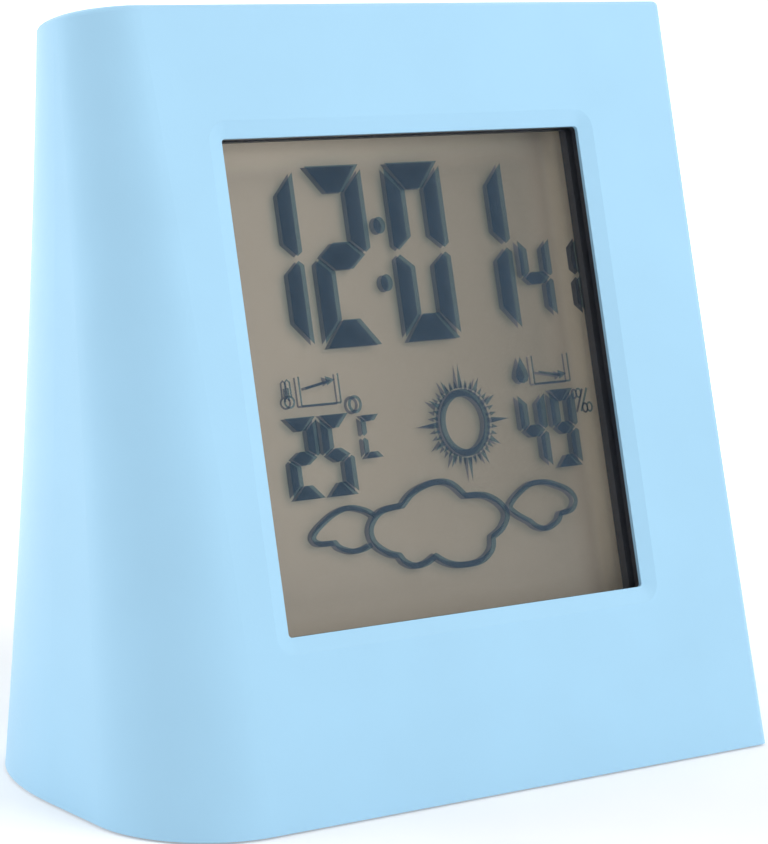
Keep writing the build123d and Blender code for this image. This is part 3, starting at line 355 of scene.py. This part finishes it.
def on_window(across, up, depth):
    """A point of the window's plane, at a depth behind it, in metres."""
    along = WINDOW_UP + up
    return Vector((
        WINDOW_X + across,
        FRONT_Y + along * math.sin(LEAN) + depth * math.cos(LEAN),
        FOOT_Z + along * math.cos(LEAN) - depth * math.sin(LEAN),
    )) * MM


def darken_reveal(made, first_depth, last_depth):
    """Turns the casing's window wall dark between two depths behind the face."""
    wall_reach = 0.4
    tree = made.node_tree
    shader = next(item for item in tree.nodes if item.type == "BSDF_PRINCIPLED")
    tone = shader.inputs["Base Color"].links[0].from_socket
    sine, cosine = math.sin(LEAN), math.cos(LEAN)
    middle_depth = (first_depth + last_depth) / 2
    inside = None
    # Across the face, along it and into it: a direction, and the dark space's middle and reach
    for direction, middle, reach in (
        ((1.0, 0.0, 0.0), WINDOW_X, WINDOW_WIDTH / 2 + wall_reach),
        (
            (0.0, sine, cosine),
            WINDOW_UP + FRONT_Y * sine + FOOT_Z * cosine,
            WINDOW_HEIGHT / 2 + wall_reach,
        ),
        (
            (0.0, cosine, -sine),
            FRONT_Y * cosine - FOOT_Z * sine + middle_depth,
            (last_depth - first_depth) / 2,
        ),
    ):
        along = tree.nodes.new("ShaderNodeVectorMath")
        along.operation = "DOT_PRODUCT"
        tree.links.new(place_on_object(tree), along.inputs[0])
        along.inputs[1].default_value = direction
        near = calculated(tree, "COMPARE", along.outputs["Value"], middle * MM, reach * MM)
        inside = near if inside is None else calculated(tree, "MULTIPLY", inside, near)
    tree.links.new(mixed(tree, inside, tone, linear(40, 44, 54)), shader.inputs["Base Color"])


darken_reveal(materials["casing_blue"], 1.15, 8.0)


# The display's picture: outlines of its signs, in millimetres from the window's middle
def seven_segments(lit, x, y, width, height, stroke, bar, gap):
    """The outlines of a digit's lit segments. Their corners are cut by small shares of the gap."""
    middle = height / 2
    inner = width - stroke
    cut, half = 0.6 * gap, 0.5 * gap
    shapes = {
        "a": [
            (cut, height), (width - cut, height),
            (inner - half, height - bar), (stroke + half, height - bar),
        ],
        "b": [
            (width, height - 1.6 * gap), (width, middle + 2.1 * gap),
            (width - 1.9 * gap, middle + 0.7 * gap), (inner, middle + bar / 2 + half),
            (inner, height - bar - 0.1 * gap),
        ],
        "g": [
            (2.4 * gap, middle), (stroke + half, middle + bar / 2),
            (inner - half, middle + bar / 2), (width - 2.4 * gap, middle),
            (inner - half, middle - bar / 2), (stroke + half, middle - bar / 2),
        ],
    }
    shapes["d"] = [(u, height - v) for u, v in shapes["a"]]
    shapes["c"] = [(u, height - v) for u, v in shapes["b"]]
    shapes["f"] = [(width - u, v) for u, v in shapes["b"]]
    shapes["e"] = [(width - u, height - v) for u, v in shapes["b"]]
    return [[(x + u, y + v) for u, v in shapes[name]] for name in lit]


def digits(foot, style, rows):
    """A row of digits on one foot line, each given as lit segments, left end and width."""
    return [
        outline
        for lit, left, width in rows
        for outline in seven_segments(lit, left, foot, width, **style)
    ]


def round_outline(x, y, radius_x, radius_y, count=28):
    turns = [math.tau * i / count for i in range(count)]
    return [(x + radius_x * math.cos(turn), y + radius_y * math.sin(turn)) for turn in turns]


def band(points, width, closed=False):
    """Quads that follow a line of points with that width, one outline for each run."""
    count = len(points)
    sides = []
    for i, (u, v) in enumerate(points):
        before = points[i - 1] if closed or i > 0 else points[i]
        after = points[(i + 1) % count] if closed or i < count - 1 else points[i]
        du, dv = after[0] - before[0], after[1] - before[1]
        size = math.hypot(du, dv)
        nu, nv = -dv / size * width / 2, du / size * width / 2
        sides.append(((u + nu, v + nv), (u - nu, v - nv)))
    runs = []
    for i in range(count if closed else count - 1):
        (a, b), (c, d) = sides[i], sides[(i + 1) % count]
        runs.append([a, b, d, c])
    return runs


def smooth(points, steps=4):
    """A smooth line through the points, without its last one."""
    line = []
    padded = points[:1] + points + points[-1:]
    for corners in zip(padded, padded[1:], padded[2:], padded[3:]):
        for i in range(steps):
            t = i / steps
            line.append(tuple(
                0.5 * (
                    2 * q + (r - p) * t + (2 * p - 5 * q + 4 * r - s) * t * t
                    + (3 * q - p - 3 * r + s) * t ** 3
                )
                for p, q, r, s in zip(*corners)
            ))
    return line


def cloud(*runs):
    """A cloud's line, each lobe a smooth run from one notch to the next."""
    return [point for run in runs for point in smooth(run)]


TALL = dict(height=23.7, bar=3.55, gap=0.42)
SMALL = dict(height=11.1, stroke=1.4, bar=1.6, gap=0.24)
LOW = dict(height=10.5, stroke=1.75, bar=1.75, gap=0.24)
NARROW = dict(height=10.5, stroke=1.45, bar=1.6, gap=0.24)
UNIT = dict(height=5.6, stroke=0.8, bar=0.8, gap=0.16)
TALL_FOOT = 4.65

# Time, and the smaller digits to its right
signs = []
signs += digits(TALL_FOOT, dict(TALL, stroke=2.75), [("bc", -23.4, 9.0)])
signs += digits(TALL_FOOT, dict(TALL, stroke=2.95), [("abged", -12.65, 9.0), ("abcdef", 0.1, 9.0)])
signs += digits(TALL_FOOT, dict(TALL, stroke=2.7), [("bc", 10.4, 9.0)])
signs += [round_outline(x, y, 0.95, 1.12) for x, y in ((-1.8, 20.2), (-1.85, 12.6))]
signs += digits(6.3, SMALL, [("fgbc", 20.5, 5.3), ("bc", 25.5, 5.4)])

# Temperature and humidity, and the degree sign with its C
signs += digits(-14.3, LOW, [("abged", -20.8, 5.0), ("afgcd", -15.35, 4.7)])
signs += digits(-13.9, NARROW, [("fgbc", 16.9, 4.5), ("abfgcd", 22.3, 4.25)])
signs += band(round_outline(-9.5, -2.8, 0.88, 0.98, 20), 0.42, closed=True)
signs += digits(-9.9, UNIT, [("afed", -9.0, 3.0)])

# Thermometer: bulb, tube and filling
signs += band(round_outline(-19.5, -1.75, 0.72, 0.72, 18), 0.28, closed=True)
signs += band([(-19.9, -1.15), (-19.85, 0.8), (-19.5, 1.1), (-19.15, 0.8), (-19.1, -1.15)], 0.26)
signs += band([(-19.5, -1.6), (-19.5, 0.1)], 0.3)

# The two trend boxes, open at the top, each with its arrow
BOX_WIDTH, BOX_TOP, BOX_FOOT = 6.1, 1.4, -2.4
BOX_LINE, ARROW_LINE = 0.26, 0.34
for x, tail, tip in ((-17.7, -0.2, 0.55), (20.15, -0.85, -1.45)):
    box = [(x, BOX_TOP), (x, BOX_FOOT), (x + BOX_WIDTH, BOX_FOOT), (x + BOX_WIDTH, BOX_TOP)]
    for start, end in zip(box, box[1:]):
        signs += band([start, end], BOX_LINE)
    signs += band([(x + 0.9, tail), (x + 4.6, tip - 0.1)], ARROW_LINE)
    signs.append([(x + 5.6, tip + 0.1), (x + 4.1, tip + 0.62), (x + 4.3, tip - 0.6)])

# Drop
signs.append([
    (18.2, 1.4), (17.3, -0.5), (17.1, -1.3), (17.6, -2.0), (18.3, -2.2), (19.0, -1.9),
    (19.3, -1.2), (19.05, -0.4),
])

# Sun: a ring, and rays of three lengths
SUN_X, SUN_Y = 7.65, -6.6
SUN_RAYS = 36
RAY_FOOT = 4.4
SUN_STRETCH = 1.06
signs += band(round_outline(SUN_X, SUN_Y, 3.6, 4.0, 36), 0.92, closed=True)
for i in range(SUN_RAYS):
    angle = math.tau * i / SUN_RAYS
    reach = 7.4 if i % 9 == 0 else (6.3 if i % 3 == 0 else 5.4)
    half = 0.085 if i % 3 == 0 else 0.06
    signs.append([
        (
            SUN_X + radius * math.cos(angle + turn),
            SUN_Y + radius * SUN_STRETCH * math.sin(angle + turn),
        )
        for radius, turn in ((RAY_FOOT, -half), (reach, 0.0), (RAY_FOOT, half))
    ])

# Clouds: the middle one, and the parts of the left and right ones that it leaves in view
signs += band(cloud(
    [
        (-5.58, -22.87), (-7.32, -22.33), (-9.20, -20.96), (-9.68, -19.18), (-8.64, -17.56),
        (-6.93, -16.72), (-4.13, -16.48),
    ],
    [
        (-4.13, -16.48), (-2.42, -15.11), (-0.14, -14.24), (2.28, -13.94), (4.33, -14.5),
        (6.13, -16.17),
    ],
    [(6.13, -16.17), (9.26, -16.41), (11.54, -17.6), (12.54, -19.25), (11.53, -20.95), (9.68, -22)],
    [(9.68, -22), (9.29, -23.6), (7.25, -24.94), (3.95, -25.1), (1.66, -24.51), (0.02, -23.48)],
    [(0.02, -23.48), (-1.55, -24.23), (-3.45, -24.41), (-4.97, -23.72), (-5.58, -22.87)],
), 0.8, closed=True)
signs += band(cloud(
    [
        (-8.81, -17.32), (-10.04, -16.54), (-12.52, -15.94), (-14.93, -16.48), (-17.1, -17.7),
        (-18.2, -18.55), (-18.6, -19.2), (-18.3, -19.8), (-17.5, -20.1), (-16.5, -20.15),
        (-15.38, -20.17),
    ],
    [(-15.38, -20.17), (-14.74, -20.87), (-12.93, -21.52), (-11.09, -21.41), (-9.55, -20.88)],
), 0.7)
signs += band(cloud(
    [
        (16.31, -20.63), (14.78, -19.78), (13.69, -19), (13.27, -18.21), (14.85, -16.8),
        (17.18, -15.67), (19.73, -15.64), (21.62, -16.23), (23.44, -17.09), (24.31, -18.4),
        (23.57, -19.69), (21.50, -20.08),
    ],
    [(21.50, -20.08), (20.90, -21.01), (18.93, -21.8), (17.20, -21.37), (16.31, -20.63)],
), 0.7, closed=True)

# Percent sign
signs += band([(27.45, -6.7), (28.85, -3.6)], 0.34)
for x, y in ((27.35, -4.2), (28.95, -6.2)):
    signs += band(round_outline(x, y, 0.42, 0.6, 14), 0.28, closed=True)

# The picture's place: its shift on the window, and the depths of the signs and of their shadows
PICTURE_RIGHT, PICTURE_UP = -1.15, -0.12
SIGN_DEPTH, SHADOW_DEPTH = 5.28, 6.38
SHADOW_SHIFT = 0.1


def ridden(name, mesh, material):
    """A piece made of a mesh in work, on the clock's body."""
    data = bpy.data.meshes.new(name)
    mesh.to_mesh(data)
    mesh.free()
    data.materials.append(material)
    made = placed(name, data)
    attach(made, "clock_body")
    return made


def picture(name, outlines, depth, shift, material):
    """All outlines as one thin mesh on a plane behind the window."""
    mesh = bmesh.new()
    for outline in outlines:
        mesh.faces.new([
            mesh.verts.new(on_window(u + PICTURE_RIGHT + shift, v + PICTURE_UP, depth))
            for u, v in outline
        ])
    mesh.normal_update()
    return ridden(name, mesh, material)


sign_piece = picture("display_signs", signs, SIGN_DEPTH, 0.0, sign_ink)
# The signs' shadow on the grey sheet is painted: a dark copy of the signs, set deeper and shifted
shadow_piece = picture(
    "display_sign_shadows", signs, SHADOW_DEPTH, SHADOW_SHIFT, materials["shadow_ink"]
)

# Half the width and height of the two glass sheets, and the depths of their faces
FRONT_SHEET = ((30.5, 34.2), 4.2, 5.27)
BACK_SHEET = ((30.5, 32.3), 5.31, 6.37)
RIM_OPENING = (WINDOW_WIDTH / 2 + 1.5, WINDOW_HEIGHT / 2 + 0.8)


def glass_rim(name):
    """The border of the two glass sheets, left open where their clear middle shows nothing."""
    mesh = bmesh.new()
    for outer, start, end in (FRONT_SHEET, BACK_SHEET):
        rings = []
        for half_u, half_v in (outer, RIM_OPENING):
            corners = ((-half_u, -half_v), (half_u, -half_v), (half_u, half_v), (-half_u, half_v))
            for depth in (start, end):
                rings.append([mesh.verts.new(on_window(u, v, depth)) for u, v in corners])
        outer_front, outer_back, inner_front, inner_back = rings
        for a, b in (
            (outer_front, outer_back), (outer_back, inner_back), (inner_back, inner_front),
            (inner_front, outer_front),
        ):
            for i in range(4):
                j = (i + 1) % 4
                mesh.faces.new((a[i], a[j], b[j], b[i]))
    bmesh.ops.recalc_face_normals(mesh, faces=mesh.faces)
    made = ridden(name, mesh, materials["display_edge"])
    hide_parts("front_glass", "back_glass")


glass_rim("display_glass_rim")

# Floor, which looks white far from the object and keeps the object's shadow near it
FLOOR = 6.0
FLOOR_GRAIN_MM = 30.0
SHADOW_ZONE = (0.08, 0.3)
NEAR_GLOW, FAR_GLOW = 0.3, 1.0

floor_mesh = bpy.data.meshes.new("floor")
floor_corners = [
    (-FLOOR, -FLOOR, 0.0), (FLOOR, -FLOOR, 0.0), (FLOOR, FLOOR, 0.0), (-FLOOR, FLOOR, 0.0),
]
floor_mesh.from_pydata(floor_corners, [], [(0, 1, 2, 3)])
floor = placed("floor", floor_mesh)
floor_material, tree, shader, output = new_material("floor")
shader.inputs["Roughness"].default_value = 0.9
shader.inputs["Specular IOR Level"].default_value = 0.0
grain = ranged(tree, noise_of(tree, FLOOR_GRAIN_MM), 0.0, 1.0)
floor_tone = mixed(tree, grain, linear(225, 227, 229), linear(231, 232, 234))
tree.links.new(floor_tone, shader.inputs["Base Color"])
path = tree.nodes.new("ShaderNodeLightPath")
seen = calculated(
    tree, "ADD", path.outputs["Is Camera Ray"], path.outputs["Is Glossy Ray"], clamp=True
)
far = tree.nodes.new("ShaderNodeVectorMath")
far.operation = "LENGTH"
tree.links.new(place_on_object(tree), far.inputs[0])
lit = ranged(tree, far.outputs["Value"], NEAR_GLOW, FAR_GLOW, *SHADOW_ZONE)
glow = tree.nodes.new("ShaderNodeEmission")
glow.inputs["Color"].default_value = WHITE
tree.links.new(calculated(tree, "MULTIPLY", seen, lit), glow.inputs["Strength"])
both = tree.nodes.new("ShaderNodeAddShader")
tree.links.new(shader.outputs["BSDF"], both.inputs[0])
tree.links.new(glow.outputs["Emission"], both.inputs[1])
tree.links.new(both.outputs["Shader"], output.inputs["Surface"])
floor_mesh.materials.append(floor_material)

# World: soft light on the object, and a white background for the camera, gloss and glass
SOFT_LIGHT, BACKGROUND = 0.42, 1.0

world = bpy.data.worlds.new("world")
bpy.context.scene.world = world
world.use_nodes = True
tree = world.node_tree
tree.nodes.clear()
output = tree.nodes.new("ShaderNodeOutputWorld")
lights = []
for strength in (SOFT_LIGHT, BACKGROUND):
    backdrop = tree.nodes.new("ShaderNodeBackground")
    backdrop.inputs["Color"].default_value = WHITE
    backdrop.inputs["Strength"].default_value = strength
    lights.append(backdrop.outputs["Background"])
path = tree.nodes.new("ShaderNodeLightPath")
mirrored_or_through = calculated(
    tree, "MAXIMUM", path.outputs["Is Glossy Ray"], path.outputs["Is Transmission Ray"]
)
seen = calculated(tree, "MAXIMUM", path.outputs["Is Camera Ray"], mirrored_or_through)
show_both(tree, output, seen, *lights)

# Lamps
LAMP_DISTANCE = 1.2
LAMP_AIM = Vector((0.0, 0.0, 0.05))


def lamp(name, azimuth, elevation, size, watts, mirrored):
    """A square soft lamp that looks at the object's middle. Azimuth 0 stands in front.

    One that isn't mirrored lights the object, but shows in no gloss.
    """
    turn, rise = math.radians(azimuth), math.radians(elevation)
    away = Vector((
        math.sin(turn) * math.cos(rise),
        -math.cos(turn) * math.cos(rise),
        math.sin(rise),
    ))
    data = bpy.data.lights.new(name, "AREA")
    data.shape = "SQUARE"
    data.size = size
    data.energy = watts
    made = placed(name, data)
    made.location = LAMP_AIM + away * LAMP_DISTANCE
    made.visible_glossy = mirrored
    made.rotation_euler = (-away).to_track_quat("-Z", "Y").to_euler()


lamp("key", azimuth=30, elevation=36, size=0.8, watts=8.05, mirrored=False)
lamp("left", azimuth=-120, elevation=22, size=0.7, watts=6.5, mirrored=False)
lamp("right", azimuth=110, elevation=30, size=0.9, watts=2.6, mirrored=True)
lamp("back", azimuth=180, elevation=40, size=0.9, watts=2.4, mirrored=True)
